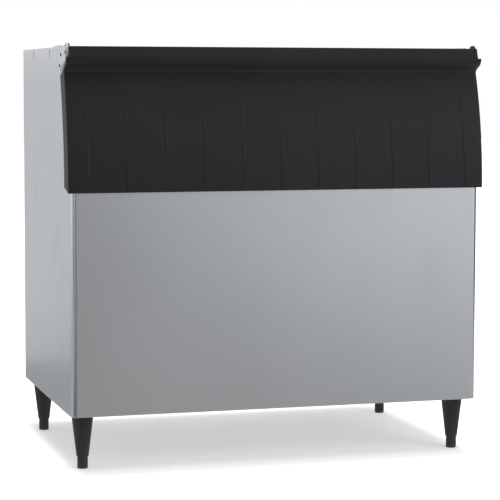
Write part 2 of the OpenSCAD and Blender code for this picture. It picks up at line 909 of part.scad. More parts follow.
// A hinge arm's blank, grown by a clearance: eye, bent neck and round foot
module arm_blank(side, from, to, grow) {
    at_side(side, from, to) {
        translate(pin_at) circle(eye_r + grow);
        translate(arm_foot) circle(arm_foot_r + grow);
        ribbon([pin_at, knee, arm_foot], 2 * (strap_r + grow));
    }
}

// One bead on the curved face, as a half-round rib bent round the face's own axis
module bead() {
    reach = asin((groove_z - bead_gap - low_z) / face_r);
    section = (bead_w * bead_w / 4 + bead_h * bead_h) / (2 * bead_h);
    translate([0, front_y + curve_b, low_z])
        rotate([90, 0, -90])
            rotate_extrude(angle = reach, $fn = 256)
                intersection() {
                    translate([face_r + bead_h - section, 0]) circle(section, $fn = 32);
                    translate([face_r - past, -bead_w]) square([bead_h + 2 * past, 2 * bead_w]);
                }
}

module door_skin() {
    pitch = 2 * door_half / bead_count;
    color(black) difference() {
        union() {
            difference() {
                union() {
                    across(2 * door_half) door_outline();
                    across(2 * door_half) lip_outline();
                }
                across(2 * (door_half + past)) core_outline(-past);
            }
            for (side = [left, right])
                at_side(side, skirt_in, door_half) {
                    skirt_outline();
                    lip_end_outline();
                }
            for (i = [0:bead_count - 1])
                translate([-door_half + (i + 0.5) * pitch, 0, 0]) bead();
        }
        for (side = [left, right]) {
            arm_blank(side, arm_in - gap, skirt_in, gap);
            for (p = arm_screw_points)
                peg(side, skirt_in - past, door_half - past, arm_screw_r + fit, p);
        }
    }
}

module door_foam() {
    color(foam_colour) difference() {
        across(2 * skirt_in) core_outline(panel_t);
        for (side = [left, right]) {
            arm_blank(side, arm_in - gap, skirt_in + past, gap);
            for (p = arm_screw_points)
                peg(side, arm_in - arm_head_t - gap, arm_in, arm_head_r + gap, p);
        }
    }
}

module door_liner() {
    color(black) across(2 * (arm_in - gap))
        slab(-gasket_t - gap - panel_t, -gasket_t - gap, door_floor + skin_t + fit,
            groove_z - fit);
}

module door_gasket() {
    w = half - gasket_in;
    z0 = door_floor + skin_t + gasket_low;
    z1 = groove_z - gasket_high;
    color(rubber) difference() {
        across(2 * w) slab(-gasket_t - gap, -gap, z0, z1);
        across(2 * (w - gasket_w))
            slab(-gasket_t - gap - past, past, z0 + gasket_w, z1 - gasket_w);
    }
}

module hinge_arm(side) {
    color(bright) difference() {
        arm_blank(side, arm_in, skirt_in, 0);
        peg(side, arm_in - past, skirt_in + past, pin_r + fit, pin_at);
        for (p = arm_screw_points)
            peg(side, arm_in - past, skirt_in + past, arm_screw_r + fit, p);
    }
}

module arm_screws(side) {
    color(zinc) for (p = arm_screw_points) {
        peg(side, arm_in - eps, door_half - past - fit, arm_screw_r, p);
        peg(side, arm_in - arm_head_t, arm_in, arm_head_r, p);
    }
}

front_panel();
side_panel(left);  // side_panel_left
side_panel(right);  // side_panel_right
back_panel();
base_panel();
back_screws();
cabinet_foam();
bin_liner();
opening_frame();
header();
baffle();
baffle_screws();
drain_elbow();
drain_flange();
drain_strainer();
strap_rail(left);  // strap_rail_left
strap_rail(right);  // strap_rail_right
leg_plates();
leg_studs();
leg(0);  // leg_front_left
leg(1);  // leg_front_right
leg(2);  // leg_back_left
leg(3);  // leg_back_right
foot(0);  // foot_front_left
foot(1);  // foot_front_right
foot(2);  // foot_back_left
foot(3);  // foot_back_right
hinge_bracket(left);  // hinge_bracket_left
hinge_bracket(right);  // hinge_bracket_right
bracket_screws(left);  // bracket_screws_left
bracket_screws(right);  // bracket_screws_right
hinge_pin(left);  // hinge_pin_left
hinge_pin(right);  // hinge_pin_right
stop_stud(left);  // stop_stud_left
stop_stud(right);  // stop_stud_right
door_skin();
door_foam();
door_liner();
door_gasket();
hinge_arm(left);  // hinge_arm_left
hinge_arm(right);  // hinge_arm_right
arm_screws(left);  // arm_screws_left
arm_screws(right);  // arm_screws_right
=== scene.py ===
"""An insulated ice bin with a stainless cabinet and a black moulded door."""
import json
import math

import bmesh
import bpy
from mathutils import Matrix, Vector


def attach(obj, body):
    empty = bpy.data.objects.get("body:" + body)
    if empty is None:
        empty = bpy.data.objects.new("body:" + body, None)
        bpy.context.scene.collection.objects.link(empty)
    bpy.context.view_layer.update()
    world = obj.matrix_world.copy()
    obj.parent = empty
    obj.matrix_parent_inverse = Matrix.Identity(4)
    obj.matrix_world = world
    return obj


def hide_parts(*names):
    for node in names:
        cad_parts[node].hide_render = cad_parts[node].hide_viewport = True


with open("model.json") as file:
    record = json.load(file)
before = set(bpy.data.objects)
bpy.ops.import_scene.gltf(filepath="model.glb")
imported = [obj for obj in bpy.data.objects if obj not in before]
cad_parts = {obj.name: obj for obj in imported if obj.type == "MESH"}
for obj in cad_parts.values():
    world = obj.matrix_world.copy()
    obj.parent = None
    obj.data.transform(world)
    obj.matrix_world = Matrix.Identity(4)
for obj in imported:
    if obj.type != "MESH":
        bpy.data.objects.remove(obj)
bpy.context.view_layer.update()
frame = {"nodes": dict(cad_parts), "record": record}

MM = 0.001

# The cabinet's measures, in millimetres: across from the middle, back from the front
# panel's face and up from the floor, as its solids have them
FRONT = -395.5  # the front panel's face, in the frame
HALF = 650.5  # half the width
BACK = 803  # the back panel's outer face
SHEET = 1.2  # thickness of a panel
BASE_Z = 168  # the underside
SILL_TOP = 850  # the front panel's top
TOP_Z = 1274  # the top
SILL_BACK = 36  # from the front panel's face to the sloping opening's lower edge
LEAN = 9.1  # the opening's slope, in degrees
PIN = Vector((50, 1260))  # the hinge pins, back and up
LEGS = {"front_left": (-602.5, 80), "front_right": (602.5, 80),
        "back_left": (-602.5, 726), "back_right": (602.5, 726)}
FOOT_BODIES = {"front_left": "foot_fl", "front_right": "foot_fr",
               "back_left": "foot_bl", "back_right": "foot_br"}

# The door's measures, shut
DOOR_HALF = 660.5  # half the width over the skirts
SKIRT_IN = 657  # the skirts' inner faces
SKIRT_DEPTH = 65  # from the face to a skirt's rear edge
LOW_Z = 840  # the lower edge
DOOR_FLOOR = 852  # underside of the foam's space
GROOVE_Z = 1197  # the groove under the lip
LIP_Z = 1243  # top of the lip
LIP_B = 8  # the rear edge of the lip's top, back from the front panel's face
FACE_R = 1110  # radius of the curved face
FACE_CENTRE = 1097  # the middle of that curve, back from the front panel's face
SEAT = 8.3  # from the door's back to the opening's face
BEADS = 11


# Camera, at the photograph's place

def make_camera():
    """A long lens at the height of the door's top, to the left, fitted to the photograph."""
    yaw, pitch, roll = (math.radians(a) for a in (15.866, -4.288, 0.083))
    ahead = Vector((math.sin(yaw) * math.cos(pitch), math.cos(yaw) * math.cos(pitch),
                    math.sin(pitch)))
    camera = bpy.data.objects.new("camera", bpy.data.cameras.new("camera"))
    camera.data.sensor_width = 36
    camera.data.lens = 132.35
    camera.data.shift_x = 0.06
    camera.data.shift_y = -0.06
    camera.data.clip_end = 100
    camera.location = (-1.7082, -5.7275, 1.1681)
    turn = ahead.to_track_quat("-Z", "Y")
    camera.rotation_euler = (turn.to_matrix() @ Matrix.Rotation(roll, 3, "Z")).to_euler()
    bpy.context.collection.objects.link(camera)
    bpy.context.scene.camera = camera


# Shader kit

class Value:
    """A node's output; working on it adds Math nodes."""

    def __init__(self, nodes, socket):
        self.nodes = nodes
        self.socket = socket

    def work(self, operation, *numbers):
        """One Math node's answer."""
        return self.nodes.add("ShaderNodeMath", {"operation": operation},
                              dict(enumerate(numbers)))

    def __add__(self, other):
        return self.work("ADD", self, other)

    def __sub__(self, other):
        return self.work("SUBTRACT", self, other)

    def __rsub__(self, other):
        return self.work("SUBTRACT", other, self)

    def __mul__(self, other):
        return self.work("MULTIPLY", self, other)

    def __pow__(self, other):
        return self.work("POWER", self, other)

    __radd__ = __add__
    __rmul__ = __mul__

    def size(self):
        """The number without its sign."""
        return self.work("ABSOLUTE", self)

    def below(self, other):
        """Held down to another number."""
        return self.work("MINIMUM", self, other)

    def above(self, other):
        """Held up to another number."""
        return self.work("MAXIMUM", self, other)

    def between(self, low, high, to_low=0.0, to_high=1.0):
        """Runs smoothly from to_low to to_high as this runs from low to high."""
        return self.nodes.add("ShaderNodeMapRange", {"interpolation_type": "SMOOTHSTEP"},
                              {"Value": self, "From Min": low, "From Max": high,
                               "To Min": to_low, "To Max": to_high})


class Nodes:
    """The nodes of a material or of the world."""

    def __init__(self, tree):
        self.tree = tree
        self.tree.nodes.clear()

    def set(self, node, inputs):
        """Links values to a node's sockets, and writes plain numbers and colours on them."""
        for key, value in inputs.items():
            socket = node.inputs[key]
            if isinstance(value, Value):
                self.tree.links.new(value.socket, socket)
            elif socket.type == "RGBA" and len(value) == 3:
                socket.default_value = (*value, 1)
            else:
                socket.default_value = value

    def add(self, kind, settings=None, inputs=None, output=0):
        """Adds a node of a kind with its settings, then its inputs, and returns one output."""
        node = self.tree.nodes.new(kind)
        for key, value in (settings or {}).items():
            setattr(node, key, value)
        self.set(node, inputs or {})
        return Value(self, node.outputs[output]) if node.outputs else None

    def shows(self):
        """1 for a ray that shows the surface itself: straight, mirrored or through glass."""
        path = self.add("ShaderNodeLightPath").socket.node.outputs
        camera, glossy, through = (Value(self, path["Is %s Ray" % kind])
                                   for kind in ("Camera", "Glossy", "Transmission"))
        return (camera + glossy + through).below(1.0)


class Finish(Nodes):
    """One material, built from nodes round a Principled shader."""

    def __init__(self, name, **constants):
        self.material = bpy.data.materials.new(name)
        self.material.use_nodes = True
        super().__init__(self.material.node_tree)
        surface = self.add("ShaderNodeBsdfPrincipled")
        self.shader = surface.socket.node
        self.add("ShaderNodeOutputMaterial", None, {"Surface": surface})
        self.give(**constants)

    def give(self, **inputs):
        """Sets or links the shader's own sockets, named with _ for a space."""
        self.set(self.shader, {key.replace("_", " "): value for key, value in inputs.items()})

    def place(self):
        """The point on the piece, in metres, as it was at rest."""
        return self.add("ShaderNodeTexCoord", output="Object")

    def axes(self):
        """The point's three numbers: across, back and up."""
        split = self.add("ShaderNodeSeparateXYZ", None, {"Vector": self.place()})
        return [Value(self, socket) for socket in split.socket.node.outputs]

    def noise(self, scale, detail=2.0, roughness=0.5, stretch=(1, 1, 1), offset=(0, 0, 0)):
        """Cloudy noise: scale counts its blobs in a metre, and stretch packs them on an axis."""
        where = self.add("ShaderNodeMapping", None,
                         {"Vector": self.place(), "Scale": stretch, "Location": offset})
        return self.add("ShaderNodeTexNoise", None,
                        {"Vector": where, "Scale": scale, "Detail": detail,
                         "Roughness": roughness})

    def cells(self, scale, output="Distance"):
        """Cells, scale of them in a metre: the way to each one's middle, or its own colour."""
        return self.add("ShaderNodeTexVoronoi", None,
                        {"Vector": self.place(), "Scale": scale}, output)

    def mix(self, low, high, mask):
        """A colour from low to high by a mask, on the Mix node's two colour sockets."""
        first, second, mixed = 6, 7, 2
        return self.add("ShaderNodeMix", {"data_type": "RGBA"},
                        {"Factor": mask, first: low, second: high}, mixed)

    def bump(self, height, distance):
        """A normal from a height of 0 to 1 that stands for a distance, over softened edges."""
        soft = self.add("ShaderNodeBevel", {"samples": 6}, {"Radius": 0.5 * MM})
        return self.add("ShaderNodeBump", None, {"Height": height, "Distance": distance,
                                                 "Strength": 1.0, "Normal": soft})


# Finishes

def brushed(name, colour, dull, grain, roughness, metal=1.0):
    """Sheet steel: fine grain along one axis, broad rolling tone and faint smudges."""
    steel = Finish(name, Metallic=metal, Anisotropic=0.35)
    hair = steel.noise(1, 3, 0.6, grain)
    fine = steel.noise(1, 2, 0.7, [g * 3.1 for g in grain], (0.3, 0.7, 0.1))
    lines = hair * 0.55 + fine * 0.45
    cloud = steel.noise(2.2, 2, 0.45)
    smudge = steel.noise(7, 3, 0.6, (1, 1, 0.7)).between(0.5, 0.75)
    tone = (lines - 0.5) * 0.55 + cloud * 0.7 + 0.15 - smudge * 0.08
    steel.give(Base_Color=steel.mix(dull, colour, tone.above(0.0).below(1.0)),
               Roughness=(lines - 0.5) * 0.16 + smudge * 0.05 + cloud * 0.06 + roughness,
               Normal=steel.bump(lines, 0.006 * MM))
    return steel.material


def galvanised(name):
    """Dull zinc sheet with a faint spangle."""
    zinc = Finish(name, Metallic=1.0)
    flake = zinc.cells(70, "Color")
    grey = zinc.add("ShaderNodeRGBToBW", None, {"Color": flake})
    cloud = zinc.noise(5, 3, 0.5)
    tone = grey * 0.5 + cloud * 0.5
    zinc.give(Base_Color=zinc.mix((0.36, 0.38, 0.4), (0.58, 0.6, 0.61), tone),
              Roughness=grey * 0.16 + cloud * 0.12 + 0.38,
              Normal=zinc.bump(grey, 0.01 * MM))
    return zinc.material


def bright_metal(name):
    """Turned or pressed stainless, for screws and pins."""
    metal = Finish(name, Metallic=1.0)
    fine = metal.noise(900, 2, 0.6)
    dirt = metal.noise(160, 3, 0.6).between(0.45, 0.75)
    metal.give(Base_Color=metal.mix((0.68, 0.68, 0.69), (0.4, 0.39, 0.37), dirt * 0.5),
               Roughness=fine * 0.14 + dirt * 0.12 + 0.18,
               Normal=metal.bump(fine, 0.004 * MM))
    return metal.material


def moulded_black(name):
    """Black polyethylene: a fine pebbled skin, satin, with scuffs, and a paler band of painted
    light under the lip that lifts its shade.
    """
    plastic = Finish(name, Specular_IOR_Level=0.28)
    _, _, up = plastic.axes()
    pebble = plastic.noise(1100, 2, 0.55)
    orange = plastic.noise(170, 2, 0.5)
    cloud = plastic.noise(3.5, 3, 0.5)
    scuff = plastic.noise(26, 4, 0.75, (1, 1, 7)).between(0.62, 0.76)
    speck = plastic.noise(420, 1, 0.5).between(0.72, 0.8)
    tone = cloud * 0.55 + scuff * 0.3 + speck * 0.5
    clean = plastic.mix((0.0065, 0.0065, 0.0071), (0.016, 0.0161, 0.0172), tone)
    # Painted light: a paler band that lifts the shade fades in over the groove and out again
    # under the lip's nose
    lip_lift_band = up.between(1.194, 1.211) * up.between(1.214, 1.238, 1.0, 0.0)
    painted_lift = lip_lift_band * (cloud * 0.4 + 0.8)
    plastic.give(Base_Color=plastic.mix(clean, (0.03, 0.03, 0.0315), painted_lift),
                 Roughness=pebble * 0.12 + cloud * 0.1 - scuff * 0.08 + 0.4,
                 Normal=plastic.bump(pebble * 0.6 + orange * 0.4, 0.07 * MM))
    return plastic.material


def moulded_leg(name):
    """Black plastic with a soft satin face and dust near the floor."""
    plastic = Finish(name, Specular_IOR_Level=0.4)
    _, _, up = plastic.axes()
    pebble = plastic.noise(800, 2, 0.55)
    cloud = plastic.noise(14, 3, 0.5)
    low = up.between(0.0, 0.09, 1.0, 0.0)
    tone = cloud * 0.5 + low * 0.35
    plastic.give(Base_Color=plastic.mix((0.01, 0.01, 0.0108), (0.032, 0.032, 0.034), tone),
                 Roughness=pebble * 0.12 + cloud * 0.1 + low * 0.08 + 0.34,
                 Normal=plastic.bump(pebble, 0.04 * MM))
    return plastic.material


def moulded_pale(name, light, dark, roughness):
    """Pale food-grade plastic, satin, with a faint ripple."""
    plastic = Finish(name)
    ripple = plastic.noise(9, 2, 0.5)
    pebble = plastic.noise(600, 2, 0.5)
    mark = plastic.noise(30, 4, 0.7).between(0.6, 0.75)
    plastic.give(Base_Color=plastic.mix(light, dark, ripple * 0.4 + mark * 0.3),
                 Roughness=pebble * 0.1 + mark * 0.1 + roughness,
                 Normal=plastic.bump(ripple * 0.9 + pebble * 0.1, 0.4 * MM))
    return plastic.material


def foam(name):
    """Rigid foam with a fine open cut surface."""
    block = Finish(name, Roughness=0.9)
    cell = block.cells(500)
    cloud = block.noise(12, 3, 0.5)
    tone = cell * 0.6 + cloud * 0.4
    block.give(Base_Color=block.mix((0.8, 0.66, 0.36), (0.6, 0.46, 0.22), tone),
               Normal=block.bump(cell, 0.6 * MM))
    return block.material


def soft_rubber(name):
    """Matte black vinyl, with a little bloom."""
    rubber = Finish(name, Specular_IOR_Level=0.3)
    bloom = rubber.noise(60, 4, 0.6)
    grain = rubber.noise(1500, 1, 0.5)
    rubber.give(Base_Color=rubber.mix((0.02, 0.02, 0.021), (0.06, 0.06, 0.062), bloom),
                Roughness=bloom * 0.2 + 0.5,
                Normal=rubber.bump(grain, 0.03 * MM))
    return rubber.material


finishes = {
    "stainless": brushed("stainless", (0.60, 0.61, 0.63), (0.52, 0.53, 0.545),
                         grain=(900, 900, 7), roughness=0.27),
    "galvanised": galvanised("galvanised"),
    "bracket_steel": brushed("bracket_steel", (0.80, 0.81, 0.82), (0.62, 0.63, 0.64),
                             grain=(900, 60, 900), roughness=0.32, metal=0.45),
    "hardware": bright_metal("hardware"),
    "dark_hardware": moulded_leg("dark_hardware"),
    "black_moulding": moulded_black("black_moulding"),
    "leg_plastic": moulded_leg("leg_plastic"),
    "liner": moulded_pale("liner", (0.8, 0.82, 0.84), (0.7, 0.72, 0.74), roughness=0.36),
    "fitting": moulded_pale("fitting", (0.78, 0.78, 0.76), (0.66, 0.66, 0.64),
                            roughness=0.3),
    "foam": foam("foam"),
    "gasket": soft_rubber("gasket"),
}


# Outlines

def rounded(points, radius, steps=4, closed=True):
    """An outline with its corners rounded, by one radius or by one for each corner."""
    made = []
    count = len(points)
    for i, here in enumerate(points):
        bend = radius[i] if isinstance(radius, list) else radius
        here = Vector(here)
        if not bend or (not closed and i in (0, count - 1)):
            made.append(tuple(here))
            continue
        before = Vector(points[i - 1]) - here
        after = Vector(points[(i + 1) % count]) - here
        half = before.angle(after) / 2
        room = 0.49 * min(before.length, after.length)  # under half of the shorter edge
        bend = min(bend, room * math.tan(half))
        before.normalize()
        after.normalize()
        middle = here + (before + after).normalized() * (bend / math.sin(half))
        start = here + before * bend / math.tan(half) - middle
        end = here + after * bend / math.tan(half) - middle
        first = math.atan2(start.y, start.x)
        turn = (math.atan2(end.y, end.x) - first + math.pi) % (2 * math.pi) - math.pi
        for k in range(steps + 1):
            angle = first + turn * k / steps
            made.append((middle.x + bend * math.cos(angle), middle.y + bend * math.sin(angle)))
    return made


def arc(centre, radius, start, end, steps):
    """Points round an arc, with its angles in degrees."""
    angles = [math.radians(start + (end - start) * k / steps) for k in range(steps + 1)]
    return [(centre[0] + radius * math.cos(a), centre[1] + radius * math.sin(a)) for a in angles]


def frame_b(z):
    """Distance behind the front panel of the sloping opening's front, at a height."""
    return SILL_BACK + (z - SILL_TOP) * math.tan(math.radians(LEAN))


def face_b(z):
    """Distance behind the front panel of the door's curved face, at a height."""
    return FACE_CENTRE - math.sqrt(FACE_R ** 2 - (z - LOW_Z) ** 2)


def pane(half, low, high, corner, depth):
    """A rounded rectangle lying parallel to the sloping opening, at a depth behind its front."""
    outline = rounded([(-half, low), (half, low), (half, high), (-half, high)], corner,
                      steps=5)
    return [(x, frame_b(z) + depth, z) for x, z in outline]


def share(low, high, number):
    """How far a number is on its way from low to high, held from 0 to 1."""
    return min(1, max(0, (number - low) / (high - low)))


# Shapes

class Shape:
    """A mesh in the making, from points across, back and up in millimetres."""

    def __init__(self):
        self.mesh = bmesh.new()

    def point(self, x, b, z):
        """A corner of the mesh, carried over into the frame."""
        return self.mesh.verts.new((x * MM, (FRONT + b) * MM, z * MM))

    def loft(self, rings, around=True, ends=True, joined=False):
        """Skins rings of points in turn, and closes each ring, the ends or the whole loop."""
        made = [[self.point(*place) for place in ring] for ring in rings]
        pairs = list(zip(made, made[1:])) + ([(made[-1], made[0])] if joined else [])
        for one, two in pairs:
            count = len(one)
            for i in range(count if around else count - 1):
                j = (i + 1) % count
                self.mesh.faces.new((one[i], one[j], two[j], two[i]))
        if ends:
            self.mesh.faces.new(made[0])
            self.mesh.faces.new(reversed(made[-1]))
        return self

    def bar(self, outline, x0, x1):
        """A side outline run across."""
        return self.loft([[(x, b, z) for b, z in outline] for x in (x0, x1)])

    def turned(self, profile, centre, along=(0, 0, 1), sides=48, joined=False):
        """A profile of radius and length turned about an axis."""
        along = Vector(along)
        side = along.orthogonal().normalized()
        other = along.cross(side)
        angles = [2 * math.pi * k / sides for k in range(sides)]
        rings = [[Vector(centre) + along * length
                  + (side * math.cos(a) + other * math.sin(a)) * radius
                  for a in angles] for radius, length in profile]
        return self.loft(rings, ends=not joined, joined=joined)

    def screw(self, centre, along, radius, height, degrees, shank, depth):
        """A domed head with a cross recess, turned by some degrees, on its shank."""
        along = Vector(along)
        upright = Vector((0, 0, 1))
        level = along.cross(upright)
        turn = math.radians(degrees)
        side = upright * math.cos(turn) + level * math.sin(turn)
        other = level * math.cos(turn) - upright * math.sin(turn)

        def place(u, v, h):
            return Vector(centre) + side * u + other * v + along * h

        arm, web = radius * 0.52, radius * 0.13
        cross = [(arm, -web), (arm, web), (web, web), (web, arm), (-web, arm), (-web, web),
                 (-arm, web), (-arm, -web), (-web, -web), (-web, -arm), (web, -arm), (web, -web)]
        dome = [(radius, 0), (radius, 0.3 * height), (0.93 * radius, 0.6 * height),
                (0.8 * radius, 0.85 * height), (0.62 * radius, height)]
        sides = 36
        circle = [2 * math.pi * k / sides for k in range(sides)]
        self.loft([[place(r * math.cos(a), r * math.sin(a), h) for a in circle]
                   for r, h in dome], ends=False)
        self.mesh.verts.ensure_lookup_table()
        base = self.mesh.verts[-sides * len(dome):][:sides]
        rim = self.mesh.verts[-sides:]
        self.mesh.faces.new(base)
        self.loft([[place(u, v, height) for u, v in cross],
                   [place(0.8 * u, 0.8 * v, 0.45 * height) for u, v in cross]], ends=False)
        self.mesh.verts.ensure_lookup_table()
        mouth = self.mesh.verts[-2 * len(cross):][:len(cross)]
        floor = self.mesh.verts[-len(cross):]
        self.mesh.faces.new(floor)
        edges = [self.mesh.edges.get((loop[k - 1], loop[k]))
                 for loop in (rim, mouth) for k in range(len(loop))]
        bmesh.ops.triangle_fill(self.mesh, edges=edges, use_beauty=True)
        return self.turned([(shank, -depth), (shank, 0.1)], centre, along, sides=24)

    def piece(self, name, slot, body, *stands_for, edge=0, steps=2, sharp=35, solid=True):
        """The finished piece, in its finish, riding its body in place of some nodes.

        Its edges are rounded by edge millimetres in some steps, or else they stay sharp
        from sharp degrees up. A sheet that isn't solid keeps its faces' own sides.
        """
        bmesh.ops.remove_doubles(self.mesh, verts=self.mesh.verts, dist=0.001 * MM)
        if solid:
            bmesh.ops.recalc_face_normals(self.mesh, faces=self.mesh.faces)
        data = bpy.data.meshes.new(name)
        self.mesh.to_mesh(data)
        self.mesh.free()
        data.polygons.foreach_set("use_smooth", [True] * len(data.polygons))
        if not edge:
            data.set_sharp_from_angle(angle=math.radians(sharp))
        data.materials.append(finishes[slot])
        made = bpy.data.objects.new(name, data)
        bpy.context.collection.objects.link(made)
        if edge:
            soften(made, edge * MM, steps)
        else:
            even = made.modifiers.new("flat faces stay flat", "WEIGHTED_NORMAL")
            even.keep_sharp = True
        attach(made, body)
        if stands_for:
            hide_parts(*stands_for)
        return made


def soften(piece, width, steps):
    """Rounds a piece's sharp edges."""
    bevel = piece.modifiers.new("rounded edges", "BEVEL")
    bevel.width = width
    bevel.segments = steps
    bevel.limit_method = "ANGLE"
    bevel.angle_limit = math.radians(28)
    bevel.harden_normals = True


# Cabinet

def dress_frame():
    """Gives each carried-over node its finish."""
    slots = {part["node"]: part["material_slot"] for part in frame["record"]["subparts"]}
    for name, piece in frame["nodes"].items():
        finish = finishes[slots[name]]
        if not piece.material_slots:
            piece.data.materials.append(finish)
        for slot in piece.material_slots:
            slot.material = finish


def make_front_panel():
    """Folded sheet: round upright corners, small round folds above and below, two flanges."""
    corner, fold = 17, 2.4  # radii
    rear, hem = 34, 8  # how far back the ends and the folded edges reach

    def plan(inset):
        left = arc((-HALF + corner, corner), corner - inset, 180, 270, 12)
        right = arc((HALF - corner, corner), corner - inset, 270, 360, 12)
        return [(-HALF + inset, rear)] + left + right + [(HALF - inset, rear)]

    low, high = BASE_Z, SILL_TOP
    section = rounded([(hem, low), (0, low), (0, high), (hem, high), (hem, high - SHEET),
                       (SHEET, high - SHEET), (SHEET, low + SHEET), (hem, low + SHEET)],
                      [0, fold, fold, 0, 0, fold / 2, fold / 2, 0])
    loops = [[(x, b, z) for x, b in plan(inset)] for inset, z in section]
    shape = Shape()
    shape.loft(loops, around=False, ends=False, joined=True)
    for end in (0, -1):
        shape.mesh.faces.new([shape.point(*loop[end]) for loop in loops])
    clear = 0.05  # inside the folded sheet
    thin = SHEET - 2 * clear
    side, front = HALF - 3, 5
    for z, depth in ((low + clear, 24), (high - clear - thin, 44)):
        flange = [(-side, front), (side, front), (side, depth), (-side, depth)]
        shape.loft([[(x, b, z + h) for x, b in flange] for h in (0, thin)])
    shape.piece("front_sheet", "stainless", "cabinet", "front_panel")


def make_header():
    """Moulded header: leaning face, round nose under it, and a round boss at each end."""
    gap = 1.3  # from the nose to the lip that swings round it
    reach = (Vector((LIP_B, LIP_Z)) - PIN).length - gap
    nose = arc(PIN, reach, 203, 260, 14)
    front = nose[0][0] + 12
    rear, foot = 76, 72  # the back, and the front edge of the underside
    under, toe = 1214, 1222  # heights of the underside and of the top of its rear toe
    corners = [(rear, TOP_Z), (front, TOP_Z)] + nose + [
        (foot, under), (frame_b(under), under), (frame_b(under), toe), (rear, toe)]
    bends = [1.5, 3, 0.8] + [0] * (len(nose) - 1) + [1, 1, 1, 1]
    shape = Shape()
    shape.bar(rounded(corners, bends), -HALF, HALF)
    boss = [(23, -5), (23, -1.6), (22.5, -0.5), (21.4, 0)]
    proud = 0.02  # of the cabinet's side
    for side in (-1, 1):
        shape.turned(boss, (side * (HALF + proud), PIN.x, PIN.y), (side, 0, 0), sides=64)
    shape.piece("header_moulding", "black_moulding", "cabinet", "header")


def make_legs():
    """Tapered moulded legs with a ring round the top, and feet on threaded stems.

    Each profile is a list of radii and heights.
    """
    leg = rounded([(8.2, 42), (16.8, 42), (16.8, 37.6), (18.5, 37.6), (19, 40), (33.5, 162),
                   (34.5, 163), (34.5, BASE_Z), (12, BASE_Z)],
                  [0, 0, 0.5, 0.8, 1.5, 1, 0.6, 1, 0], steps=3, closed=False)
    stem, root, pitch, turns = 8, 7.3, 1.5, 42
    collar, collar_top = 16.2, 41.7
    foot = [(9.4, 1.2)]
    foot += rounded([(10, 0), (collar, 0), (collar, 32), (collar, collar_top),
                     (stem, collar_top)], [0, 2.5, 0, 1, 0], closed=False)
    for k in range(turns):
        low = collar_top + 1.8 + k * pitch
        foot += [(stem, low), (root, low + pitch / 2)]
    foot += [(stem, 108), (6, 112)]
    for name, (x, b) in LEGS.items():
        Shape().turned(leg, (x, b, 0), sides=64).piece(
            "leg_moulding_" + name, "leg_plastic", "cabinet", "leg_" + name)
        Shape().turned(foot, (x, b, 0)).piece(
            "foot_turning_" + name, "leg_plastic", FOOT_BODIES[name], "foot_" + name)


def make_back_screws():
    """Cross-recessed screws round the back panel."""
    inset = 22  # from the panel's edges
    edge = HALF - SHEET - inset
    places = [(x, z) for x in (-edge, -HALF / 3, HALF / 3, edge)
              for z in (BASE_Z + inset, TOP_Z - inset)]
    places += [(x, BASE_Z + k * (TOP_Z - BASE_Z) / 4) for x in (-edge, edge) for k in (1, 2, 3)]
    shape = Shape()
    for k, (x, z) in enumerate(places):
        shape.screw((x, BACK, z), (0, 1, 0), radius=5, height=2.2, degrees=37 * k,
                    shank=2.5, depth=SHEET)
    shape.piece("back_panel_screws", "hardware", "cabinet", "back_screws", sharp=25)


def make_bracket_screws():
    """Dark cross-recessed screws that hold the hinge brackets."""
    plate = 3  # a bracket's thickness
    places = PIN + Vector((81, -10)), PIN + Vector((98, -43))
    for side, name in ((-1, "left"), (1, "right")):
        shape = Shape()
        for k, place in enumerate(places):
            centre = (side * (HALF + plate), place.x, place.y)
            shape.screw(centre, (side, 0, 0), radius=5, height=2.2, degrees=20 + 50 * k,
                        shank=2.5, depth=plate + SHEET)
        shape.piece("bracket_screws_" + name, "dark_hardware", "cabinet",
                    "bracket_screws_" + name, sharp=25)


def make_pins():
    """Headed hinge pins with a turned centre mark."""
    seat = SKIRT_IN + 0.3  # where the head's underside lies, from the middle
    inner_end = HALF - 10 - seat  # the pin reaches 10 into the header
    profile = [(4, inner_end)]
    profile += rounded([(5, inner_end), (5, 0.01), (9, 0.01), (9, 3), (1.6, 3), (0.1, 2.2)],
                       [0, 0, 0.5, 0.9, 0.2, 0], steps=3, closed=False)
    for side, name in ((-1, "left"), (1, "right")):
        Shape().turned(profile, (side * seat, PIN.x, PIN.y), (side, 0, 0)).piece(
            "hinge_pin_" + name, "hardware", "cabinet", "hinge_pin_" + name)


def make_drain_thread():
    """Thread inside the drain's outlet."""
    outlet = (0, BACK - 0.8, 190.3)
    bore, crest, pitch, turns = 12.08, 11.3, 1.8, 10
    mouth, end = 0.6, -18.4
    ridges = [(bore, mouth)]
    for k in range(turns):
        ridges += [(bore, -pitch * k), (crest, -pitch * (k + 0.5))]
    ridges += [(bore, end), (bore + 0.01, end)]
    Shape().turned(ridges, outlet, (0, 1, 0), joined=True).piece(
        "drain_thread", "fitting", "cabinet")


# Door

def lip_under():
    """Underside of the lip, as one curve from the groove up to the nose."""
    groove = Vector((face_b(GROOVE_Z) + 0.5, GROOVE_Z))
    nose = Vector((5, LIP_Z - 6))
    pull_groove = groove + Vector((-1.5, 19))
    pull_nose = nose + Vector((3, -23))
    steps = 14
    points = []
    for k in range(steps + 1):
        t = k / steps
        u = 1 - t
        points.append(tuple(groove * u ** 3 + pull_groove * 3 * u * u * t
                            + pull_nose * 3 * u * t * t + nose * t ** 3))
    return points


def skirt_back(z):
    """How far back the skirt's rear edge lies, at a height."""
    shoulder_z = 1186
    if z < DOOR_FLOOR:
        return -5 + 37 * share(LOW_Z, DOOR_FLOOR, z)
    if z <= shoulder_z:
        return face_b(z) + SKIRT_DEPTH
    shoulder = [(face_b(shoulder_z) + SKIRT_DEPTH, shoulder_z),
                (62, 1207), (32, 1230), (18, 1242), (LIP_B, LIP_Z + 0.2)]
    for (b0, z0), (b1, z1) in zip(shoulder, shoulder[1:]):
        if z <= z1:
            break
    return b0 + (b1 - b0) * share(z0, z1, z)


